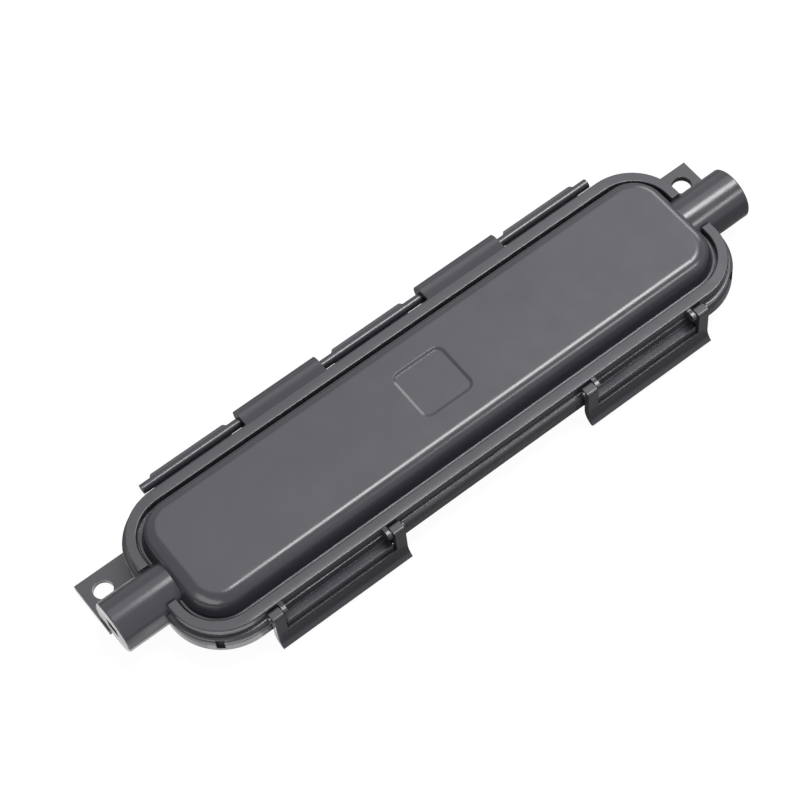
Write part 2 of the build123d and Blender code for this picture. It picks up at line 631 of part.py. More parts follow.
def adapter_half():
    """One half of the coupler's housing, on the +X side."""
    half_width = ADAPTER_WIDTH / 2
    half_height = ADAPTER_HEIGHT / 2
    z_range = (PARTING_Z - half_height, PARTING_Z + half_height)
    body = block((0, ADAPTER_HALF_LENGTH), (-half_width, half_width), z_range)
    body = chamfer(body.edges().filter_by(Axis.X), ADAPTER_EDGE)
    flange_half = ADAPTER_FLANGE_WIDTH / 2
    body += block((0, ADAPTER_FLANGE_HALF), (-flange_half, flange_half), z_range)
    ledge_start = HOOK_PLATE_THICKNESS + HOOK_PLATE_CLEARANCE
    ledge_end = ledge_start + PORT_LEDGE_THICKNESS
    for x_range, shrink in (((-1, ledge_start), 0), ((0, BIG), PORT_LEDGE), ((ledge_end, BIG), 0)):
        half_port = PORT_WIDTH / 2 - shrink
        port_z = PORT_HEIGHT / 2 - shrink
        body -= block(x_range, (-half_port, half_port), (PARTING_Z - port_z, PARTING_Z + port_z))
    key_top = PARTING_Z + PORT_HEIGHT / 2 + KEYWAY_HEIGHT
    key_x = (ADAPTER_HALF_LENGTH - KEYWAY_LENGTH, BIG)
    body -= block(key_x, (-KEYWAY_WIDTH / 2, KEYWAY_WIDTH / 2), (PARTING_Z, key_top))
    return body


def adapter_hook():
    """The inner piece on the +X side: a plate, the ferrule tube and two gripping arms."""
    half_width = PORT_WIDTH / 2 - HOOK_PLATE_CLEARANCE
    half_height = PORT_HEIGHT / 2 - HOOK_PLATE_CLEARANCE
    z_range = (PARTING_Z - half_height, PARTING_Z + half_height)
    body = block((HOOK_PLATE_CLEARANCE, HOOK_PLATE_THICKNESS), (-half_width, half_width), z_range)
    body += rod_x(FERRULE_TUBE_DIAMETER / 2, HOOK_PLATE_CLEARANCE, FERRULE_TUBE_LENGTH, 0, PARTING_Z)
    half_arm = GRIP_ARM_HEIGHT / 2
    for side in (-1, 1):
        y_range = sorted((side * GRIP_ARM_Y, side * (GRIP_ARM_Y - GRIP_ARM_THICKNESS)))
        x_range = (HOOK_PLATE_THICKNESS / 2, GRIP_ARM_LENGTH)
        body += block(x_range, y_range, (PARTING_Z - half_arm, PARTING_Z + half_arm))
    return body - rod_x(SLEEVE_DIAMETER / 2 + SLEEVE_CLEARANCE, -BIG, BIG, 0, PARTING_Z)


def adapter_sleeve():
    """The split sleeve that lines the two ferrules up."""
    half = SLEEVE_LENGTH / 2
    tube = rod_x(SLEEVE_DIAMETER / 2, -half, half, 0, PARTING_Z)
    tube -= rod_x(SLEEVE_BORE / 2, -BIG, BIG, 0, PARTING_Z)
    return tube - block((-BIG, BIG), (-SLEEVE_SLIT / 2, SLEEVE_SLIT / 2), (PARTING_Z, BIG))


def dust_cap():
    """The plug in the coupler's +X port: a hollow stopper, a lip and a pull tab."""
    half_width = PORT_WIDTH / 2 - CAP_CLEARANCE
    half_height = PORT_HEIGHT / 2 - CAP_CLEARANCE
    mouth = ADAPTER_HALF_LENGTH
    stopper_start = mouth - CAP_DEPTH
    lip_start = mouth + CAP_CLEARANCE

    def plug(x_range, grow_y, grow_z):
        y = half_width + grow_y
        z = half_height + grow_z
        return block(x_range, (-y, y), (PARTING_Z - z, PARTING_Z + z))

    body = plug((stopper_start, lip_start), 0, 0)
    body -= plug((stopper_start - OVERCUT, mouth - CAP_WALL), -CAP_WALL, -CAP_WALL)
    body += plug((lip_start, lip_start + CAP_LIP), CAP_LIP_SIDE, CAP_LIP_RISE)
    tab_z = (PARTING_Z - CAP_TAB_THICKNESS / 2, PARTING_Z + CAP_TAB_THICKNESS / 2)
    tab_x = (lip_start, lip_start + CAP_LIP + CAP_TAB_LENGTH)
    tab = block(tab_x, (-CAP_TAB_WIDTH / 2, CAP_TAB_WIDTH / 2), tab_z)
    return body + chamfer(tab.edges().filter_by(Axis.Z).group_by(Axis.X)[-1], CAP_TAB_CORNER)


def pieces():
    """Every piece, under the name of its file."""
    made = {
        "base_shell": base_shell(),
        "lid_shell": lid_shell(),
        "latch_left": latch(-LATCH_X),
        "latch_right": latch(LATCH_X),
        "gasket_front": gasket(-1),
        "gasket_rear": gasket(1),
        "adapter_sleeve": adapter_sleeve(),
    }
    right_hand = {"adapter_half": adapter_half(), "adapter_hook": adapter_hook(), "dust_cap": dust_cap()}
    for name, piece in right_hand.items():
        made[name + "_right"] = piece
        made[name + "_left"] = mirror(piece, about=Plane.YZ)
    for name, side in (("left", -1), ("right", 1)):
        made["end_seal_" + name + "_lower"] = end_seal(side, upper=False)
        made["end_seal_" + name + "_upper"] = end_seal(side, upper=True)
        made["cable_clamp_" + name] = cable_clamp(side)
        made["clamp_screws_" + name] = clamp_screws(side)
    return made


os.makedirs("parts", exist_ok=True)
for node, shape in pieces().items():
    export_step(shape, "parts/" + node + ".step")
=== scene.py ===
"""Looks of a fibre connector protection box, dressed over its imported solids."""
import math

import bmesh
import bpy
from bpy.props import FloatProperty, FloatVectorProperty, IntProperty, PointerProperty
from mathutils import Matrix, Vector


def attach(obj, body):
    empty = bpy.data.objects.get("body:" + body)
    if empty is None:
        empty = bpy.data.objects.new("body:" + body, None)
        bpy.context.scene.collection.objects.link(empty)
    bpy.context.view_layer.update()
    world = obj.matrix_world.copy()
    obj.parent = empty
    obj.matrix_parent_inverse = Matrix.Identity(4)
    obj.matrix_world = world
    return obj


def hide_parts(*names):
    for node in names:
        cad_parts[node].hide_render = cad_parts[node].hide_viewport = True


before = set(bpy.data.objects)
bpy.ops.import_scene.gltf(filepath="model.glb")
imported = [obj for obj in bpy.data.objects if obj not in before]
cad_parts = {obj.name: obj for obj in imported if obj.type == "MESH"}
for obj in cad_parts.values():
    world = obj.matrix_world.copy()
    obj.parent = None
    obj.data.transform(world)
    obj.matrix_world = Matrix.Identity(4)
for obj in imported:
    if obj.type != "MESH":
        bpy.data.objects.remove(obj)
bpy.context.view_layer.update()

bl_info = {
    "name": "Connector Protection Box",
    "version": (1, 0, 0),
    "blender": (4, 5, 0),
    "location": "View3D > Sidebar > Protection Box",
    "description": (
        "Finishes the mouldings, seals, clamps and coupler of a connector protection box "
        "and sets up its studio"
    ),
    "category": "Object",
}

MM = 0.001

# Camera, fitted to the photograph's 800 pixel frame
FRAME_PIXELS = 800
FOCAL_PIXELS = 2410.8
PRINCIPAL_PIXEL = (435.65, 405.89)
SENSOR_WIDTH = 36.0
CAMERA_TARGET = Vector((0, 0, 0.00744))
CAMERA_DISTANCE = 0.6614848
CAMERA_X = Vector((0.78892949, -0.61181608, -0.05719574))
CAMERA_Y = Vector((0.55626714, 0.67153965, 0.48949092))
CAMERA_BACK = Vector((-0.2610692, -0.41798993, 0.87013062))
CAMERA_CLIP = (0.01, 20)

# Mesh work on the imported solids: a length in metres, three angles, and a tolerance in millimetres
WELD_DISTANCE = 2e-6
FLAT_ANGLE = math.radians(0.4)
ROUND_ANGLE = math.radians(52)
PANEL_ANGLE = math.radians(20)
ON_EDGE = 0.02

# Places and sizes read off the solids, in millimetres
PARTING_Z = 10.2
BASE_FLOOR_Z = 2.0
LID_CEILING_Z = 19.0
LID_TOP_Z = 21.0
RIM_LENGTH = 186.0
RIM_WIDTH = 48.6
RIM_CORNER = 15.8
RIM_TOP_Z = 15.9
RIM_EDGE = 0.8
PANEL_LENGTH = 15.6
PANEL_WIDTH = 15.4
PANEL_CORNER = 2.0
PANEL_DEPTH = 0.4
GASKET_WIDTH = 1.5
GASKET_CENTRE_INSET = 0.9
GASKET_LOW_Z = 8.55
GASKET_HIGH_Z = 10.3
GASKET_END_Y = 7.9
SCREW_X = 75.0
SCREW_Y = 7.6
SCREW_TIP_Z = 5.4
SCREW_SEAT_Z = 13.4
SCREW_TOP_Z = 15.0
SCREW_HEAD_RADIUS = 2.5
SCREW_SHANK_RADIUS = 1.25
CAP_TAB_X = 17.6

# The lid's finer edges, in millimetres
RIM_FINE_EDGE = 0.38
PANEL_LIP_OUT = 0.8
PANEL_FLOOR_IN = 0.1

# Details of the screws: millimetres, radians, and shares of the recess for its rise, foot and mouth
SCREW_HEAD_ROUND = 0.85
SCREW_HEAD_STEPS = 8
SCREW_FACETS = 48
SCREW_POINT = 0.6
SCREW_PLAIN_END = 1.0
SCREW_TURN = 0.5
THREAD_PITCH = 0.8
THREAD_DEPTH = 0.22
RECESS_REACH = 1.45
RECESS_WIDTH = 0.75
RECESS_DEPTH = 1.0
RECESS_RISE = 0.25
RECESS_FOOT_REACH = 0.45
RECESS_FOOT_WIDTH = 0.7
RECESS_MOUTH_REACH = 1.15
RECESS_TURN = math.radians(1.7)

# Repeated details: facets, steps and counts, and their spreads, length and radius in millimetres
RING_FACETS = 40
WIRE_FACETS = 8
GRIP_FACETS = 16
CORNER_STEPS = 24
MARK_ROWS = 2
BASE_MARK_SPREAD = (165.0, 30.0)
LID_MARK_SPREAD = (150.0, 18.0)
GRIP_COLUMNS = 4
GRIP_ROWS = 2
GRIP_ROW_SPREAD = 1.6
GRIP_LENGTH = 3.6
GRIP_RADIUS = 0.22

# Colours of the coupler's small parts
HOOK_COLOUR = (0.72, 0.71, 0.66)
CAP_COLOUR = (0.78, 0.78, 0.76)
CERAMIC_COLOUR = (0.86, 0.84, 0.78)

# Levels between which noise takes a colour and a roughness from low to high
COLOUR_RANGE = (0.35, 0.65)
ROUGHNESS_RANGE = (0.3, 0.7)
BEVEL_SAMPLES = 6

# Lamps: direction from the box, distance, length and width in metres, and the setting of their power
SOFTBOXES = {
    "top_strip": ((0.33, 0.04, 0.945), 1.0, 0.6, 0.3, "top_power"),
    "front_strip": ((0.45, -0.62, 0.64), 1.0, 0.4, 0.15, "front_power"),
    "back_softbox": ((0.3, 0.45, 0.84), 1.1, 1.0, 0.5, "back_power"),
    "right_softbox": ((0.52, 0.42, 0.74), 1.1, 0.4, 0.4, "right_power"),
    "left_softbox": ((-0.8, -0.35, 0.42), 0.8, 0.8, 0.35, "left_power"),
    "far_softbox": ((0.82, 0.41, 0.39), 0.9, 0.4, 0.3, "far_power"),
}

# A lamp whose direction has more than this along X lies across the box
ENDWAYS = 0.8

# Glowing patches of the table: two corners in metres and the setting of their power
TABLE_LIGHTS = {
    "left_table": ((-0.15, -0.06), (-0.076, 0.03), "table_power"),
    "corner_table": ((-0.1, -0.05), (-0.073, -0.02), "corner_power"),
}

# Heights over and under the box's foot in millimetres, and the greys of the floor's cloth
TABLE_LIGHT_Z = 0.3
FLOOR_GAP = 0.05
FLOOR_CLOTH = 0.3
FLOOR_CLOTH_SEEN = 0.07
FLOOR_CLOTH_MIRRORED = 0.22


# Settings


class MouldingSettings(bpy.types.PropertyGroup):
    """The two shells and the latches."""

    colour: FloatVectorProperty(
        name="Shell colour", description="Charcoal of the shells",
        subtype="COLOR", size=3, default=(0.0305, 0.029, 0.0375),
    )
    latch_colour: FloatVectorProperty(
        name="Latch colour", description="Charcoal of the latches",
        subtype="COLOR", size=3, default=(0.0245, 0.0235, 0.03),
    )
    roughness: FloatProperty(
        name="Roughness", description="Roughness of the moulded skin",
        subtype="FACTOR", min=0, max=1, default=0.235,
    )
    gloss: FloatProperty(
        name="Gloss level", description="Strength of the skin's mirrored light",
        subtype="FACTOR", min=0, max=1, default=0.5,
    )
    edge_radius: FloatProperty(
        name="Edge radius", description="Round left on moulded edges",
        unit="LENGTH", min=0, default=0.22 * MM,
    )
    grain_size: FloatProperty(
        name="Grain size", description="Spacing of the spark-eroded grain",
        unit="LENGTH", min=0.01 * MM, default=0.28 * MM,
    )
    grain_depth: FloatProperty(
        name="Grain depth", description="Depth of the spark-eroded grain",
        unit="LENGTH", min=0, default=0.003 * MM,
    )


class MarkSettings(bpy.types.PropertyGroup):
    """The ring marks that ejector pins leave inside a moulding."""

    columns: IntProperty(name="Columns", description="Marks along the box", min=1, default=6)
    radius: FloatProperty(
        name="Radius", description="Radius of a mark",
        unit="LENGTH", default=2.0 * MM,
    )
    wire: FloatProperty(
        name="Ridge", description="Half the width of a mark's ridge",
        unit="LENGTH", default=0.09 * MM,
    )


class SealSettings(bpy.types.PropertyGroup):
    """The cords between the shells and the seals round the cable."""

    colour: FloatVectorProperty(
        name="Rubber colour", description="Colour of the rubber",
        subtype="COLOR", size=3, default=(0.022, 0.022, 0.024),
    )
    cord_bevel: FloatProperty(
        name="Cord bevel", description="Bevel on the cord's edges",
        unit="LENGTH", min=0, default=0.55 * MM,
    )


class FittingSettings(bpy.types.PropertyGroup):
    """The clamps, their screws, the coupler and its stoppers."""

    clamp_colour: FloatVectorProperty(
        name="Clamp colour", description="Colour of the clamp bars",
        subtype="COLOR", size=3, default=(0.06, 0.06, 0.064),
    )
    screw_colour: FloatVectorProperty(
        name="Screw colour", description="Colour of the zinc plating",
        subtype="COLOR", size=3, default=(0.62, 0.62, 0.64),
    )
    coupler_colour: FloatVectorProperty(
        name="Coupler colour", description="Colour of the coupler's housing",
        subtype="COLOR", size=3, default=(0.025, 0.21, 0.1),
    )
    grip_pitch: FloatProperty(
        name="Grip pitch", description="Spacing of the ridges on a stopper's tab",
        unit="LENGTH", default=1.1 * MM,
    )


class StudioSettings(bpy.types.PropertyGroup):
    """The floor, lamps and surroundings."""

    floor_size: FloatProperty(
        name="Floor size", description="Side of the floor",
        unit="LENGTH", default=6.0,
    )
    top_power: FloatProperty(
        name="Top lamp", description="Strip over the box",
        unit="POWER", default=9.6,
    )
    front_power: FloatProperty(
        name="Front lamp", description="Strip in front of the box",
        unit="POWER", default=1.9,
    )
    back_power: FloatProperty(
        name="Back lamp", description="Softbox mirrored by the lid's top",
        unit="POWER", default=1.75,
    )
    right_power: FloatProperty(
        name="Right lamp", description="Patch that brightens the right end",
        unit="POWER", default=0.12,
    )
    left_power: FloatProperty(
        name="Left lamp", description="Softbox beyond the left end",
        unit="POWER", default=2.6,
    )
    far_power: FloatProperty(
        name="Far lamp", description="Low softbox behind the right end",
        unit="POWER", default=1.75,
    )
    table_power: FloatProperty(
        name="Table lamp", description="Light table under the left end",
        unit="POWER", default=0.024,
    )
    corner_power: FloatProperty(
        name="Corner lamp", description="Light table by the near left corner",
        unit="POWER", default=0.002,
    )
    surround: FloatProperty(name="Surround", description="Light from all round", min=0, default=0.15)
    floor_glow: FloatProperty(
        name="Floor glow", description="White of the floor to the camera",
        min=0, default=0.95,
    )
    floor_mirrored: FloatProperty(
        name="Floor mirrored", description="Glow of the floor in gloss",
        min=0, default=0.04,
    )


# Materials


def start_material(name):
    """A new material with its tree and its shader."""
    material = bpy.data.materials.new(name)
    material.use_nodes = True
    tree = material.node_tree
    return material, tree, tree.nodes["Principled BSDF"]


def noise(tree, size, detail=3.0, stretch=(1, 1, 1)):
    """Noise with marks about size metres across, fixed to the piece."""
    place = tree.nodes.new("ShaderNodeTexCoord")
    mapping = tree.nodes.new("ShaderNodeMapping")
    mapping.inputs["Scale"].default_value = stretch
    texture = tree.nodes.new("ShaderNodeTexNoise")
    texture.inputs["Scale"].default_value = 1 / size
    texture.inputs["Detail"].default_value = detail
    tree.links.new(place.outputs["Object"], mapping.inputs["Vector"])
    tree.links.new(mapping.outputs["Vector"], texture.inputs["Vector"])
    return texture.outputs[0]


def colour_between(tree, factor, low, high, shader):
    """Takes the shader's colour from low to high as the factor crosses COLOUR_RANGE."""
    ramp = tree.nodes.new("ShaderNodeValToRGB")
    for stop, position, colour in zip(ramp.color_ramp.elements, COLOUR_RANGE, (low, high)):
        stop.position = position
        stop.color = (*colour, 1)
    tree.links.new(factor, ramp.inputs["Fac"])
    tree.links.new(ramp.outputs["Color"], shader.inputs["Base Color"])


def roughness_between(tree, factor, low, high, shader):
    """Takes the shader's roughness from low to high as the factor crosses ROUGHNESS_RANGE."""
    spread = tree.nodes.new("ShaderNodeMapRange")
    spread.inputs["From Min"].default_value = ROUGHNESS_RANGE[0]
    spread.inputs["From Max"].default_value = ROUGHNESS_RANGE[1]
    spread.inputs["To Min"].default_value = low
    spread.inputs["To Max"].default_value = high
    tree.links.new(factor, spread.inputs["Value"])
    tree.links.new(spread.outputs["Result"], shader.inputs["Roughness"])


def rounded_edges(tree, radius):
    """A normal that rounds sharp edges."""
    bevel = tree.nodes.new("ShaderNodeBevel")
    bevel.samples = BEVEL_SAMPLES
    bevel.inputs["Radius"].default_value = radius
    return bevel.outputs["Normal"]


def bumped(tree, normal, height, depth):
    """The normal with a height pattern of that depth on it."""
    bump = tree.nodes.new("ShaderNodeBump")
    bump.inputs["Distance"].default_value = depth
    tree.links.new(height, bump.inputs["Height"])
    tree.links.new(normal, bump.inputs["Normal"])
    return bump.outputs["Normal"]


def scaled(colour, factor):
    """The colour made lighter or darker."""
    return tuple(channel * factor for channel in colour)


def moulded_plastic(name, colour, settings):
    """Charcoal plastic from a spark-eroded mould: fine grain, faint flow, softened edges."""
    cloud_size, darker, lighter = 28 * MM, 0.94, 1.07
    wear_size, wear = 6 * MM, 0.035
    wave_size, wave_depth = 12 * MM, 0.012 * MM
    material, tree, shader = start_material(name)
    shader.inputs["Specular IOR Level"].default_value = settings.gloss
    clouds = noise(tree, cloud_size, detail=4)
    colour_between(tree, clouds, scaled(colour, darker), scaled(colour, lighter), shader)
    grain = noise(tree, settings.grain_size, detail=2)
    worn = noise(tree, wear_size, detail=5)
    roughness_between(tree, worn, settings.roughness - wear, settings.roughness + wear, shader)
    normal = rounded_edges(tree, settings.edge_radius)
    normal = bumped(tree, normal, noise(tree, wave_size, detail=0), wave_depth)
    normal = bumped(tree, normal, grain, settings.grain_depth)
    tree.links.new(normal, shader.inputs["Normal"])
    return material


def soft_rubber(name, colour):
    """Matt rubber with a dusty bloom."""
    gloss, edge = 0.3, 0.15 * MM
    bloom_size, dusty = 1.6 * MM, 1.9
    smooth, rough = 0.62, 0.8
    skin_size, skin_depth = 0.35 * MM, 0.012 * MM
    material, tree, shader = start_material(name)
    shader.inputs["Specular IOR Level"].default_value = gloss
    bloom = noise(tree, bloom_size, detail=6)
    colour_between(tree, bloom, colour, scaled(colour, dusty), shader)
    roughness_between(tree, bloom, smooth, rough, shader)
    normal = rounded_edges(tree, edge)
    normal = bumped(tree, normal, noise(tree, skin_size, detail=3), skin_depth)
    tree.links.new(normal, shader.inputs["Normal"])
    return material


def plated_steel(name, colour):
    """Zinc-plated steel, lightly stained, with fine marks across its length."""
    edge = 0.1 * MM
    stain_size, stained = 1.1 * MM, 0.82
    smooth, rough = 0.24, 0.4
    mark_size, mark_stretch, mark_depth = 0.12 * MM, (1, 1, 6), 0.003 * MM
    material, tree, shader = start_material(name)
    shader.inputs["Metallic"].default_value = 1.0
    stain = noise(tree, stain_size, detail=6)
    colour_between(tree, stain, scaled(colour, stained), colour, shader)
    roughness_between(tree, stain, smooth, rough, shader)
    normal = rounded_edges(tree, edge)
    normal = bumped(tree, normal, noise(tree, mark_size, detail=2, stretch=mark_stretch), mark_depth)
    tree.links.new(normal, shader.inputs["Normal"])
    return material


def glossy_plastic(name, colour, roughness, edge):
    """Glossy coloured plastic of the small fittings, with flow lines along the box."""
    gloss = 0.5
    flow_size, flow_stretch, darker, lighter = 5 * MM, (0.35, 1, 1), 0.9, 1.08
    smoother, rougher = 0.04, 0.05
    skin_size, skin_depth = 0.5 * MM, 0.004 * MM
    material, tree, shader = start_material(name)
    shader.inputs["Specular IOR Level"].default_value = gloss
    flow = noise(tree, flow_size, detail=3, stretch=flow_stretch)
    colour_between(tree, flow, scaled(colour, darker), scaled(colour, lighter), shader)
    roughness_between(tree, flow, roughness - smoother, roughness + rougher, shader)
    normal = rounded_edges(tree, edge)
    normal = bumped(tree, normal, noise(tree, skin_size, detail=3), skin_depth)
    tree.links.new(normal, shader.inputs["Normal"])
    return material


def fired_ceramic(name, colour):
    """Polished zirconia with a warm depth."""
    edge = 0.05 * MM
    depth_share, depth = 0.15, (0.4 * MM, 0.35 * MM, 0.3 * MM)
    cloud_size, darker = 0.9 * MM, 0.95
    smooth, rough = 0.12, 0.2
    skin_size, skin_depth = 0.2 * MM, 0.001 * MM
    material, tree, shader = start_material(name)
    shader.inputs["Subsurface Weight"].default_value = depth_share
    shader.inputs["Subsurface Radius"].default_value = depth
    cloud = noise(tree, cloud_size, detail=4)
    colour_between(tree, cloud, scaled(colour, darker), colour, shader)
    roughness_between(tree, cloud, smooth, rough, shader)
    normal = bumped(tree, rounded_edges(tree, edge), noise(tree, skin_size), skin_depth)
    tree.links.new(normal, shader.inputs["Normal"])
    return material


def dress(node, material):
    """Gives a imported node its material."""
    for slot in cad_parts[node].material_slots:
        slot.link = "OBJECT"
        slot.material = material


# Meshes


def link_object(name, data):
    """A new object of the scene with that data."""
    obj = bpy.data.objects.new(name, data)
    bpy.context.scene.collection.objects.link(obj)
    return obj


def settle(obj):
    """Turns the object with its modifiers into a plain mesh object of the same name."""
    bpy.context.view_layer.update()
    depsgraph = bpy.context.evaluated_depsgraph_get()
    mesh = bpy.data.meshes.new_from_object(obj.evaluated_get(depsgraph))
    name = obj.name
    bpy.data.objects.remove(obj)
    mesh.name = name
    if not mesh.polygons:
        raise RuntimeError(name + " came out empty")
    return link_object(name, mesh)


def from_outline(x, y, length, width, corner):
    """How far a point lies inside a rounded rectangle, and the way out of it."""
    past_x = abs(x) - (length / 2 - corner)
    past_y = abs(y) - (width / 2 - corner)
    if past_x > 0 and past_y > 0:
        outward = Vector((past_x, past_y)).normalized()
        inset = corner - math.hypot(past_x, past_y)
    else:
        outward = Vector((1, 0)) if past_x > past_y else Vector((0, 1))
        inset = corner - max(past_x, past_y)
    return inset, math.copysign(outward.x, x), math.copysign(outward.y, y)


def fine_rim(x, y, z):
    """The move of a corner that narrows the broken outer edge of the lid's rim."""
    inset, out_x, out_y = from_outline(x, y, RIM_LENGTH, RIM_WIDTH, RIM_CORNER)
    drop = RIM_TOP_Z - z
    if min(inset, drop) < -ON_EDGE or abs(inset + drop - RIM_EDGE) > ON_EDGE:
        return (0, 0, 0)
    share = 1 - RIM_FINE_EDGE / RIM_EDGE
    return (out_x * inset * share, out_y * inset * share, drop * share)


def sloped_panel(x, y, z):
    """The move of a corner that slopes the walls of the lid's panel."""
    inset, out_x, out_y = from_outline(x, y, PANEL_LENGTH, PANEL_WIDTH, PANEL_CORNER)
    if abs(inset) > ON_EDGE:
        return (0, 0, 0)
    if abs(z - LID_TOP_Z) < ON_EDGE:
        return (out_x * PANEL_LIP_OUT, out_y * PANEL_LIP_OUT, 0)
    if abs(z - LID_TOP_Z + PANEL_DEPTH) < ON_EDGE:
        return (-out_x * PANEL_FLOOR_IN, -out_y * PANEL_FLOOR_IN, 0)
    return (0, 0, 0)


def fine_lid(corner):
    """A corner of the lid with its rim and its panel refined."""
    place = [value / MM for value in corner]
    moves = zip(place, fine_rim(*place), sloped_panel(*place))
    return tuple(sum(values) * MM for values in moves)


def on_panel(corner):
    """Whether a refined corner belongs to the panel's walls."""
    x, y, z = (value / MM for value in corner)
    if z < LID_TOP_Z - PANEL_DEPTH - ON_EDGE:
        return False
    inset = from_outline(x, y, PANEL_LENGTH, PANEL_WIDTH, PANEL_CORNER)[0]
    return -PANEL_LIP_OUT - ON_EDGE < inset < PANEL_FLOOR_IN + ON_EDGE


def shade_rounds(work):
    """Smooths the faces, and keeps sharp the edges that turn by more than ROUND_ANGLE."""
    for face in work.faces:
        face.smooth = True
    for edge in work.edges:
        edge.smooth = edge.calc_face_angle(0) < ROUND_ANGLE


def finished(work, name):
    """The bmesh as a new mesh, and the bmesh freed."""
    mesh = bpy.data.meshes.new(name)
    work.to_mesh(mesh)
    work.free()
    return mesh


def moulding(node, name, material, body, finer=tuple, crisp=lambda corner: False):
    """A finer stand-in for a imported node: welded, flats joined, its bevels shaded as rounds.

    finer moves a corner of the copy. Edges between corners that pass crisp are sharp past PANEL_ANGLE.
    """
    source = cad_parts[node].data
    mesh = bpy.data.meshes.new(name)
    corners = [finer(vertex.co[:]) for vertex in source.vertices]
    mesh.from_pydata(corners, [], [polygon.vertices[:] for polygon in source.polygons])
    work = bmesh.new()
    work.from_mesh(mesh)
    bmesh.ops.remove_doubles(work, verts=work.verts, dist=WELD_DISTANCE)
    bmesh.ops.dissolve_limit(work, angle_limit=FLAT_ANGLE, verts=work.verts, edges=work.edges)
    shade_rounds(work)
    for edge in work.edges:
        if all(crisp(vertex.co) for vertex in edge.verts):
            edge.smooth = edge.calc_face_angle(0) < PANEL_ANGLE
    work.to_mesh(mesh)
    work.free()
    mesh.materials.append(material)
    obj = link_object(name, mesh)
    weighted = obj.modifiers.new("Flats first", "WEIGHTED_NORMAL")
    weighted.mode = "FACE_AREA"
    weighted.keep_sharp = True
    obj = settle(obj)
    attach(obj, body)
    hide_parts(node)


# Screws


def turned(profile):
    """A closed solid of a profile of (radius, height) pairs in millimetres turned about Z."""
    work = bmesh.new()
    verts = [work.verts.new((radius * MM, 0, height * MM)) for radius, height in profile]
    edges = [work.edges.new(pair) for pair in zip(verts, verts[1:])]
    bmesh.ops.spin(
        work,
        geom=verts + edges,
        cent=(0, 0, 0),
        axis=(0, 0, 1),
        angle=2 * math.pi,
        steps=SCREW_FACETS,
        use_merge=True,
    )
    bmesh.ops.remove_doubles(work, verts=work.verts, dist=WELD_DISTANCE)
    bmesh.ops.recalc_face_normals(work, faces=work.faces)
    return work


def screw_profile():
    """Half the outline of a pan-head screw, from its top centre to its tip, in millimetres."""
    profile = [(0, SCREW_TOP_Z)]
    for step in range(SCREW_HEAD_STEPS + 1):
        angle = math.pi / 2 * step / SCREW_HEAD_STEPS
        radius = SCREW_HEAD_RADIUS - SCREW_HEAD_ROUND * (1 - math.sin(angle))
        profile.append((radius, SCREW_TOP_Z - SCREW_HEAD_ROUND * (1 - math.cos(angle))))
    profile.append((SCREW_HEAD_RADIUS, SCREW_SEAT_Z))
    ridges = int((SCREW_SEAT_Z - SCREW_TIP_Z - SCREW_PLAIN_END) / THREAD_PITCH)
    for ridge in range(ridges):
        height = SCREW_SEAT_Z - ridge * THREAD_PITCH
        profile.append((SCREW_SHANK_RADIUS - THREAD_DEPTH, height))
        profile.append((SCREW_SHANK_RADIUS, height - THREAD_PITCH / 2))
    profile.append((SCREW_SHANK_RADIUS - THREAD_DEPTH, SCREW_TIP_Z + SCREW_POINT))
    profile.append((0, SCREW_TIP_Z))
    return profile


def recess_cutter(name):
    """A tapered cross that stands over a screw's head and reaches into it."""
    work = bmesh.new()
    foot = (SCREW_TOP_Z - RECESS_DEPTH, RECESS_REACH * RECESS_FOOT_REACH, RECESS_WIDTH * RECESS_FOOT_WIDTH)
    mouth = (SCREW_TOP_Z + RECESS_DEPTH * RECESS_RISE, RECESS_REACH * RECESS_MOUTH_REACH, RECESS_WIDTH)
    rings = []
    for height, reach, width in (foot, mouth):
        half = width / 2
        ring = []
        for turn in range(4):
            arm = Matrix.Rotation(turn * math.pi / 2 + RECESS_TURN, 3, "Z")
            for corner in ((reach, -half, height), (reach, half, height), (half, half, height)):
                ring.append(work.verts.new(arm @ Vector(corner) * MM))
        work.faces.new(ring)
        rings.append(ring)
    low, high = rings
    for here, there in zip(range(len(low)), (*range(1, len(low)), 0)):
        work.faces.new((low[here], low[there], high[there], high[here]))
    bmesh.ops.recalc_face_normals(work, faces=work.faces)
    return link_object(name, finished(work, name))


def screw_pair(side, sign, material):
    """The two cross-head screws of one clamp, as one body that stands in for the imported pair."""
    name = "clamp_screws_" + side + "_turned"
    obj = link_object(name, finished(turned(screw_profile()), name))
    cutter = recess_cutter(name + "_cutter")
    cut = obj.modifiers.new("Recess", "BOOLEAN")
    cut.object = cutter
    cut.solver = "EXACT"
    obj = settle(obj)
    bpy.data.objects.remove(cutter)
    work = bmesh.new()
    for row in (-1, 1):
        one = bmesh.new()
        one.from_mesh(obj.data)
        turn = Matrix.Rotation(SCREW_TURN * row + sign, 3, "Z")
        bmesh.ops.rotate(one, verts=one.verts, cent=(0, 0, 0), matrix=turn)
        bmesh.ops.translate(one, verts=one.verts, vec=(sign * SCREW_X * MM, row * SCREW_Y * MM, 0))
        placed = finished(one, name + "_placed")
        work.from_mesh(placed)
        bpy.data.meshes.remove(placed)
    shade_rounds(work)
    work.to_mesh(obj.data)
    work.free()
    obj.data.materials.clear()
    obj.data.materials.append(material)
    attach(obj, "base")
    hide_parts("clamp_screws_" + side)


# Geometry Nodes trees


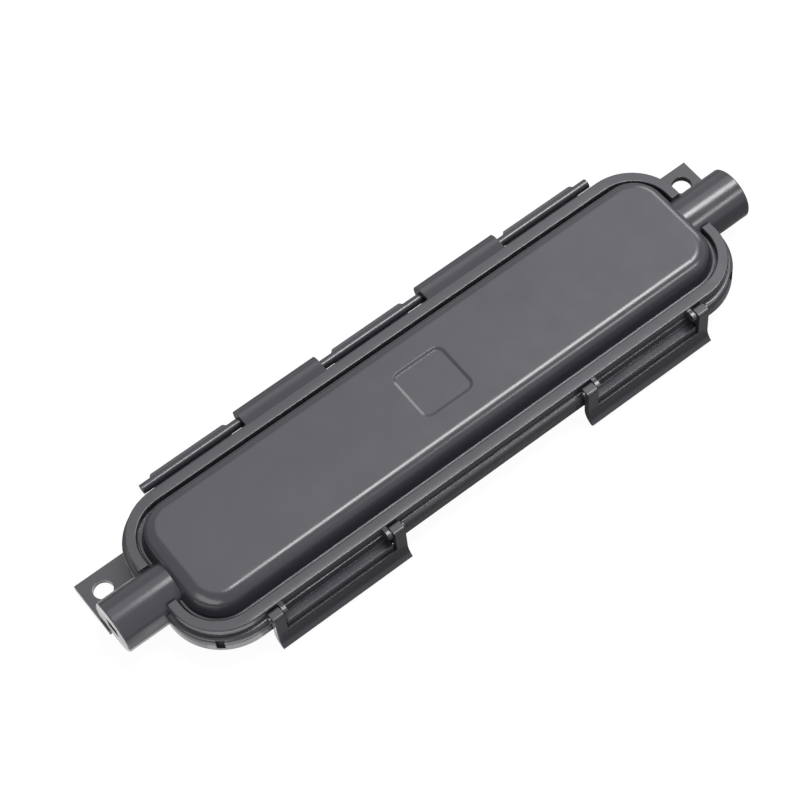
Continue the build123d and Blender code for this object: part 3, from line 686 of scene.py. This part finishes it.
def start_tree(name, inputs):
    """A tree with named inputs and the material that its Set Material gives."""
    tree = bpy.data.node_groups.new(name, "GeometryNodeTree")
    tree.interface.new_socket(name="Geometry", in_out="INPUT", socket_type="NodeSocketGeometry")
    for label, kind in inputs:
        tree.interface.new_socket(name=label, in_out="INPUT", socket_type="NodeSocket" + kind)
    tree.interface.new_socket(name="Material", in_out="INPUT", socket_type="NodeSocketMaterial")
    tree.interface.new_socket(name="Geometry", in_out="OUTPUT", socket_type="NodeSocketGeometry")
    given = tree.nodes.new("NodeGroupInput")
    return tree, given


def end_tree(tree, given, geometry):
    """Realizes, smooths and paints the geometry, and passes it out."""
    realize = tree.nodes.new("GeometryNodeRealizeInstances")
    smooth = tree.nodes.new("GeometryNodeSetShadeSmooth")
    paint = tree.nodes.new("GeometryNodeSetMaterial")
    out = tree.nodes.new("NodeGroupOutput")
    tree.links.new(geometry, realize.inputs["Geometry"])
    tree.links.new(realize.outputs["Geometry"], smooth.inputs["Geometry"])
    tree.links.new(smooth.outputs["Geometry"], paint.inputs["Geometry"])
    tree.links.new(given.outputs["Material"], paint.inputs["Material"])
    tree.links.new(paint.outputs["Geometry"], out.inputs["Geometry"])


def run_tree(obj, tree, values):
    """Puts the tree on the object with its inputs set, and settles it to a plain mesh."""
    modifier = obj.modifiers.new(tree.name, "NODES")
    modifier.node_group = tree
    for item in tree.interface.items_tree:
        if item.item_type == "SOCKET" and item.in_out == "INPUT" and item.name in values:
            modifier[item.identifier] = values[item.name]
    return settle(obj)


def ring_unit(tree, given):
    """One ring, made of a thin round ridge."""
    path = tree.nodes.new("GeometryNodeCurvePrimitiveCircle")
    path.inputs["Resolution"].default_value = RING_FACETS
    ridge = tree.nodes.new("GeometryNodeCurvePrimitiveCircle")
    ridge.inputs["Resolution"].default_value = WIRE_FACETS
    sweep = tree.nodes.new("GeometryNodeCurveToMesh")
    tree.links.new(given.outputs["Radius"], path.inputs["Radius"])
    tree.links.new(given.outputs["Ridge"], ridge.inputs["Radius"])
    tree.links.new(path.outputs["Curve"], sweep.inputs["Curve"])
    tree.links.new(ridge.outputs["Curve"], sweep.inputs["Profile Curve"])
    return sweep.outputs["Mesh"]


def bar_unit(tree, given):
    """One round bar along Y, as thick as the ridge and as long as the radius."""
    bar = tree.nodes.new("GeometryNodeMeshCylinder")
    bar.inputs["Vertices"].default_value = GRIP_FACETS
    turn = tree.nodes.new("GeometryNodeTransform")
    turn.inputs["Rotation"].default_value = (math.pi / 2, 0, 0)
    tree.links.new(given.outputs["Ridge"], bar.inputs["Radius"])
    tree.links.new(given.outputs["Radius"], bar.inputs["Depth"])
    tree.links.new(bar.outputs["Mesh"], turn.inputs["Geometry"])
    return turn.outputs["Geometry"]


def grid_tree(name, unit, plane_turn):
    """Repeats a unit over a grid of places, turned into its plane and moved to its centre."""
    inputs = [("Columns", "Int"), ("Rows", "Int"), ("Length", "Float"), ("Width", "Float")]
    inputs += [("Radius", "Float"), ("Ridge", "Float"), ("Centre", "Vector")]
    tree, given = start_tree(name, inputs)
    grid = tree.nodes.new("GeometryNodeMeshGrid")
    place = tree.nodes.new("GeometryNodeTransform")
    place.inputs["Rotation"].default_value = plane_turn
    repeat = tree.nodes.new("GeometryNodeInstanceOnPoints")
    sizes = {"Length": "Size X", "Width": "Size Y", "Columns": "Vertices X", "Rows": "Vertices Y"}
    for source, target in sizes.items():
        tree.links.new(given.outputs[source], grid.inputs[target])
    tree.links.new(grid.outputs["Mesh"], place.inputs["Geometry"])
    tree.links.new(given.outputs["Centre"], place.inputs["Translation"])
    tree.links.new(place.outputs["Geometry"], repeat.inputs["Points"])
    tree.links.new(unit(tree, given), repeat.inputs["Instance"])
    end_tree(tree, given, repeat.outputs["Instances"])
    return tree


def cord_tree():
    """Sweeps a strip with bevelled edges along the object's curve."""
    tree, given = start_tree("seal_cord", [("Width", "Float"), ("Height", "Float"), ("Bevel", "Float")])
    section = tree.nodes.new("GeometryNodeCurvePrimitiveQuadrilateral")
    bevel = tree.nodes.new("GeometryNodeFilletCurve")
    sweep = tree.nodes.new("GeometryNodeCurveToMesh")
    sweep.inputs["Fill Caps"].default_value = True
    bevel.mode = "POLY"
    tree.links.new(given.outputs["Width"], section.inputs["Width"])
    tree.links.new(given.outputs["Height"], section.inputs["Height"])
    tree.links.new(section.outputs["Curve"], bevel.inputs["Curve"])
    tree.links.new(given.outputs["Bevel"], bevel.inputs["Radius"])
    tree.links.new(given.outputs["Geometry"], sweep.inputs["Curve"])
    tree.links.new(bevel.outputs["Curve"], sweep.inputs["Profile Curve"])
    end_tree(tree, given, sweep.outputs["Mesh"])
    return tree


def seal_path(side):
    """The line that one cord follows round its side of the rim, in millimetres."""
    radius = RIM_CORNER - GASKET_CENTRE_INSET
    straight_x = RIM_LENGTH / 2 - RIM_CORNER
    straight_y = RIM_WIDTH / 2 - RIM_CORNER
    end_x = RIM_LENGTH / 2 - GASKET_CENTRE_INSET
    points = [(-end_x, GASKET_END_Y)]
    for corner_x, start in ((-straight_x, math.pi), (straight_x, math.pi / 2)):
        for step in range(CORNER_STEPS + 1):
            angle = start - math.pi / 2 * step / CORNER_STEPS
            points.append((corner_x + radius * math.cos(angle), straight_y + radius * math.sin(angle)))
    points.append((end_x, GASKET_END_Y))
    height = (GASKET_LOW_Z + GASKET_HIGH_Z) / 2
    return [(x, side * y, height) for x, y in points]


def path_object(name, points):
    """A curve object through the points, given in millimetres."""
    curve = bpy.data.curves.new(name, "CURVE")
    curve.dimensions = "3D"
    spline = curve.splines.new("POLY")
    spline.points.add(len(points) - 1)
    for place, point in zip(spline.points, points):
        place.co = (*[value * MM for value in point], 1)
    return link_object(name, curve)


# Studio


def seen_factor(tree):
    """1 for rays of the camera, of gloss and of glass, 0 for soft bounced light."""
    path = tree.nodes.new("ShaderNodeLightPath")
    factor = path.outputs["Is Camera Ray"]
    for ray in ("Is Glossy Ray", "Is Transmission Ray"):
        either = tree.nodes.new("ShaderNodeMath")
        either.operation = "MAXIMUM"
        tree.links.new(factor, either.inputs[0])
        tree.links.new(path.outputs[ray], either.inputs[1])
        factor = either.outputs[0]
    return factor


def by_camera(tree, seen, mirrored):
    """The seen value for rays of the camera and the mirrored value for all others."""
    path = tree.nodes.new("ShaderNodeLightPath")
    choice = tree.nodes.new("ShaderNodeMapRange")
    choice.inputs["To Min"].default_value = mirrored
    choice.inputs["To Max"].default_value = seen
    tree.links.new(path.outputs["Is Camera Ray"], choice.inputs["Value"])
    return choice.outputs["Result"]


def floor_material(settings):
    """Pale floor, clear from below: white to the camera, lit cloth in gloss, with the shadow kept."""
    material = bpy.data.materials.new("studio_floor")
    material.use_nodes = True
    tree = material.node_tree
    tree.nodes.clear()
    seen_cloth = tree.nodes.new("ShaderNodeBsdfDiffuse")
    glow = tree.nodes.new("ShaderNodeEmission")
    seen = tree.nodes.new("ShaderNodeAddShader")
    bounce = tree.nodes.new("ShaderNodeBsdfDiffuse")
    bounce.inputs["Color"].default_value = (FLOOR_CLOTH, FLOOR_CLOTH, FLOOR_CLOTH, 1)
    mix = tree.nodes.new("ShaderNodeMixShader")
    side = tree.nodes.new("ShaderNodeNewGeometry")
    clear = tree.nodes.new("ShaderNodeBsdfTransparent")
    one_sided = tree.nodes.new("ShaderNodeMixShader")
    out = tree.nodes.new("ShaderNodeOutputMaterial")
    cloth = by_camera(tree, FLOOR_CLOTH_SEEN, FLOOR_CLOTH_MIRRORED)
    tree.links.new(cloth, seen_cloth.inputs["Color"])
    tree.links.new(by_camera(tree, settings.floor_glow, settings.floor_mirrored), glow.inputs["Strength"])
    tree.links.new(seen_cloth.outputs[0], seen.inputs[0])
    tree.links.new(glow.outputs[0], seen.inputs[1])
    tree.links.new(seen_factor(tree), mix.inputs["Fac"])
    tree.links.new(bounce.outputs[0], mix.inputs[1])
    tree.links.new(seen.outputs[0], mix.inputs[2])
    tree.links.new(side.outputs["Backfacing"], one_sided.inputs["Fac"])
    tree.links.new(mix.outputs[0], one_sided.inputs[1])
    tree.links.new(clear.outputs[0], one_sided.inputs[2])
    tree.links.new(one_sided.outputs[0], out.inputs["Surface"])
    return material


def studio_world(surround):
    """Soft light from all round, white to the camera, to gloss and to glass."""
    world = bpy.data.worlds.new("studio_world")
    world.use_nodes = True
    tree = world.node_tree
    tree.nodes.clear()
    soft = tree.nodes.new("ShaderNodeBackground")
    soft.inputs["Strength"].default_value = surround
    seen = tree.nodes.new("ShaderNodeBackground")
    seen.inputs["Strength"].default_value = 1.0
    mix = tree.nodes.new("ShaderNodeMixShader")
    out = tree.nodes.new("ShaderNodeOutputWorld")
    for background in (soft, seen):
        background.inputs["Color"].default_value = (1, 1, 1, 1)
    tree.links.new(seen_factor(tree), mix.inputs["Fac"])
    tree.links.new(soft.outputs[0], mix.inputs[1])
    tree.links.new(seen.outputs[0], mix.inputs[2])
    tree.links.new(mix.outputs[0], out.inputs["Surface"])
    bpy.context.scene.world = world


def softbox(name, direction, distance, length, width, power):
    """An area lamp that faces the box, its length along the box or, at the ends, across it."""
    lamp = bpy.data.lights.new(name, "AREA")
    lamp.shape = "RECTANGLE"
    lamp.size = length
    lamp.size_y = width
    lamp.energy = power
    toward = Vector(direction).normalized()
    across = Vector((0, 1, 0)) if abs(toward.x) > ENDWAYS else Vector((1, 0, 0))
    across = (across - toward * across.dot(toward)).normalized()
    up = toward.cross(across)
    obj = link_object(name, lamp)
    turn = Matrix((across, up, toward)).transposed().to_4x4()
    obj.matrix_world = Matrix.Translation(CAMERA_TARGET + toward * distance) @ turn


def table_light(name, low, high, power):
    """A glowing patch of the table between two corners, facing up and hidden from the camera."""
    lamp = bpy.data.lights.new(name, "AREA")
    lamp.shape = "RECTANGLE"
    lamp.size = high[0] - low[0]
    lamp.size_y = high[1] - low[1]
    lamp.energy = power
    obj = link_object(name, lamp)
    middle = ((low[0] + high[0]) / 2, (low[1] + high[1]) / 2, TABLE_LIGHT_Z * MM)
    obj.matrix_world = Matrix.Translation(middle) @ Matrix.Rotation(math.pi, 4, "X")
    obj.visible_camera = False


def studio_camera():
    """The camera that took the photograph, as fitted."""
    camera = bpy.data.cameras.new("camera")
    camera.sensor_width = SENSOR_WIDTH
    camera.lens = SENSOR_WIDTH * FOCAL_PIXELS / FRAME_PIXELS
    camera.shift_x = (FRAME_PIXELS / 2 - PRINCIPAL_PIXEL[0]) / FRAME_PIXELS
    camera.shift_y = (PRINCIPAL_PIXEL[1] - FRAME_PIXELS / 2) / FRAME_PIXELS
    camera.clip_start, camera.clip_end = CAMERA_CLIP
    obj = link_object("camera", camera)
    turn = Matrix((CAMERA_X, CAMERA_Y, CAMERA_BACK)).transposed().to_4x4()
    obj.matrix_world = Matrix.Translation(CAMERA_TARGET + CAMERA_BACK * CAMERA_DISTANCE) @ turn
    bpy.context.scene.camera = obj


# Operators


class BOX_OT_shells(bpy.types.Operator):
    """Finish the base and the lid"""

    bl_idname = "box.shells"
    bl_label = "Shells"

    def execute(self, context):
        settings = context.scene.box_moulding
        plastic = moulded_plastic("shell_plastic_finish", settings.colour, settings)
        moulding("base_shell", "base_moulding", plastic, "base")
        moulding("lid_shell", "lid_moulding", plastic, "lid", fine_lid, on_panel)
        return {"FINISHED"}


class BOX_OT_latches(bpy.types.Operator):
    """Finish the two latches"""

    bl_idname = "box.latches"
    bl_label = "Latches"

    def execute(self, context):
        settings = context.scene.box_moulding
        plastic = moulded_plastic("latch_plastic_finish", settings.latch_colour, settings)
        for side in ("left", "right"):
            node = "latch_" + side
            moulding(node, node + "_moulding", plastic, node)
        return {"FINISHED"}


class BOX_OT_marks(bpy.types.Operator):
    """Add the ejector marks inside the shells"""

    bl_idname = "box.marks"
    bl_label = "Ejector marks"

    def execute(self, context):
        marks = context.scene.box_marks
        plastic = bpy.data.materials["shell_plastic_finish"]
        tree = grid_tree("ejector_marks", ring_unit, (0, 0, 0))
        places = (("base", BASE_MARK_SPREAD, BASE_FLOOR_Z), ("lid", LID_MARK_SPREAD, LID_CEILING_Z))
        for body, (length, width), z in places:
            name = body + "_ejector_marks"
            values = {
                "Columns": marks.columns,
                "Rows": MARK_ROWS,
                "Length": length * MM,
                "Width": width * MM,
                "Radius": marks.radius,
                "Ridge": marks.wire,
                "Centre": (0, 0, z * MM),
                "Material": plastic,
            }
            holder = link_object(name, bpy.data.meshes.new(name))
            obj = run_tree(holder, tree, values)
            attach(obj, body)
        return {"FINISHED"}


class BOX_OT_seals(bpy.types.Operator):
    """Finish the cords between the shells and the seals round the cable"""

    bl_idname = "box.seals"
    bl_label = "Seals"

    def execute(self, context):
        settings = context.scene.box_seals
        rubber = soft_rubber("seal_rubber_finish", settings.colour)
        for place in ("left_lower", "left_upper", "right_lower", "right_upper"):
            dress("end_seal_" + place, rubber)
        tree = cord_tree()
        for node, side in (("gasket_front", -1), ("gasket_rear", 1)):
            values = {
                "Width": GASKET_WIDTH * MM,
                "Height": (GASKET_HIGH_Z - GASKET_LOW_Z) * MM,
                "Bevel": settings.cord_bevel,
                "Material": rubber,
            }
            obj = run_tree(path_object(node + "_cord", seal_path(side)), tree, values)
            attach(obj, "base")
            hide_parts(node)
        return {"FINISHED"}


class BOX_OT_clamps(bpy.types.Operator):
    """Finish the cable clamps and their screws"""

    bl_idname = "box.clamps"
    bl_label = "Clamps"

    def execute(self, context):
        settings = context.scene.box_fittings
        skin = context.scene.box_moulding
        plastic = moulded_plastic("clamp_plastic_finish", settings.clamp_colour, skin)
        steel = plated_steel("screw_steel_finish", settings.screw_colour)
        for side, sign in (("left", -1), ("right", 1)):
            node = "cable_clamp_" + side
            moulding(node, node + "_moulding", plastic, "base")
            screw_pair(side, sign, steel)
        return {"FINISHED"}


class BOX_OT_coupler(bpy.types.Operator):
    """Finish the coupler, its inner parts and its stoppers"""

    bl_idname = "box.coupler"
    bl_label = "Coupler"

    def execute(self, context):
        settings = context.scene.box_fittings
        housing = glossy_plastic(
            "adapter_plastic_finish", settings.coupler_colour, roughness=0.28, edge=0.15 * MM
        )
        hook = glossy_plastic("hook_plastic_finish", HOOK_COLOUR, roughness=0.4, edge=0.1 * MM)
        cap = glossy_plastic("cap_plastic_finish", CAP_COLOUR, roughness=0.36, edge=0.15 * MM)
        dress("adapter_sleeve", fired_ceramic("sleeve_ceramic_finish", CERAMIC_COLOUR))
        tree = grid_tree("tab_grips", bar_unit, (math.pi / 2, 0, 0))
        for side, sign in (("left", -1), ("right", 1)):
            dress("adapter_half_" + side, housing)
            dress("adapter_hook_" + side, hook)
            dress("dust_cap_" + side, cap)
            name = "dust_cap_" + side + "_grips"
            values = {
                "Columns": GRIP_COLUMNS,
                "Rows": GRIP_ROWS,
                "Length": (GRIP_COLUMNS - 1) * settings.grip_pitch,
                "Width": GRIP_ROW_SPREAD * MM,
                "Radius": GRIP_LENGTH * MM,
                "Ridge": GRIP_RADIUS * MM,
                "Centre": (sign * CAP_TAB_X * MM, 0, PARTING_Z * MM),
                "Material": cap,
            }
            obj = run_tree(link_object(name, bpy.data.meshes.new(name)), tree, values)
            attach(obj, "base")
        return {"FINISHED"}


class BOX_OT_studio(bpy.types.Operator):
    """Set up the floor, the lamps and the camera"""

    bl_idname = "box.studio"
    bl_label = "Studio"

    def execute(self, context):
        settings = context.scene.box_studio
        half = settings.floor_size / 2
        level = -FLOOR_GAP * MM
        corners = [(-half, -half, level), (half, -half, level), (half, half, level), (-half, half, level)]
        mesh = bpy.data.meshes.new("studio_floor")
        mesh.from_pydata(corners, [], [(0, 1, 2, 3)])
        mesh.materials.append(floor_material(settings))
        link_object("studio_floor", mesh)
        studio_world(settings.surround)
        for name, (direction, distance, length, width, power) in SOFTBOXES.items():
            softbox(name, direction, distance, length, width, getattr(settings, power))
        for name, (low, high, power) in TABLE_LIGHTS.items():
            table_light(name, low, high, getattr(settings, power))
        studio_camera()
        context.scene.view_settings.view_transform = "Standard"
        return {"FINISHED"}


class BOX_PT_panel(bpy.types.Panel):
    """Settings and steps of the protection box"""

    bl_idname = "BOX_PT_panel"
    bl_label = "Protection Box"
    bl_space_type = "VIEW_3D"
    bl_region_type = "UI"
    bl_category = "Protection Box"

    def draw(self, context):
        for group_name, steps in PANEL_ROWS:
            box = self.layout.box()
            group = getattr(context.scene, group_name)
            for label in group.__annotations__:
                box.prop(group, label)
            for step in steps:
                box.operator(step.bl_idname)


PANEL_ROWS = (
    ("box_moulding", (BOX_OT_shells, BOX_OT_latches)),
    ("box_marks", (BOX_OT_marks,)),
    ("box_seals", (BOX_OT_seals,)),
    ("box_fittings", (BOX_OT_clamps, BOX_OT_coupler)),
    ("box_studio", (BOX_OT_studio,)),
)
GROUPS = {
    "box_moulding": MouldingSettings,
    "box_marks": MarkSettings,
    "box_seals": SealSettings,
    "box_fittings": FittingSettings,
    "box_studio": StudioSettings,
}
OPERATORS = [step for _, steps in PANEL_ROWS for step in steps]


def register():
    """Registers the classes and hangs the settings on the scene."""
    for cls in (*GROUPS.values(), *OPERATORS, BOX_PT_panel):
        bpy.utils.register_class(cls)
    for name, cls in GROUPS.items():
        setattr(bpy.types.Scene, name, PointerProperty(type=cls))


def unregister():
    """Undoes what register does."""
    for name in GROUPS:
        delattr(bpy.types.Scene, name)
    for cls in reversed((*GROUPS.values(), *OPERATORS, BOX_PT_panel)):
        bpy.utils.unregister_class(cls)


def main():
    """Builds everything."""
    register()
    bpy.ops.box.shells()
    bpy.ops.box.latches()
    bpy.ops.box.marks()
    bpy.ops.box.seals()
    bpy.ops.box.clamps()
    bpy.ops.box.coupler()
    bpy.ops.box.studio()


if __name__ == "__main__":
    main()
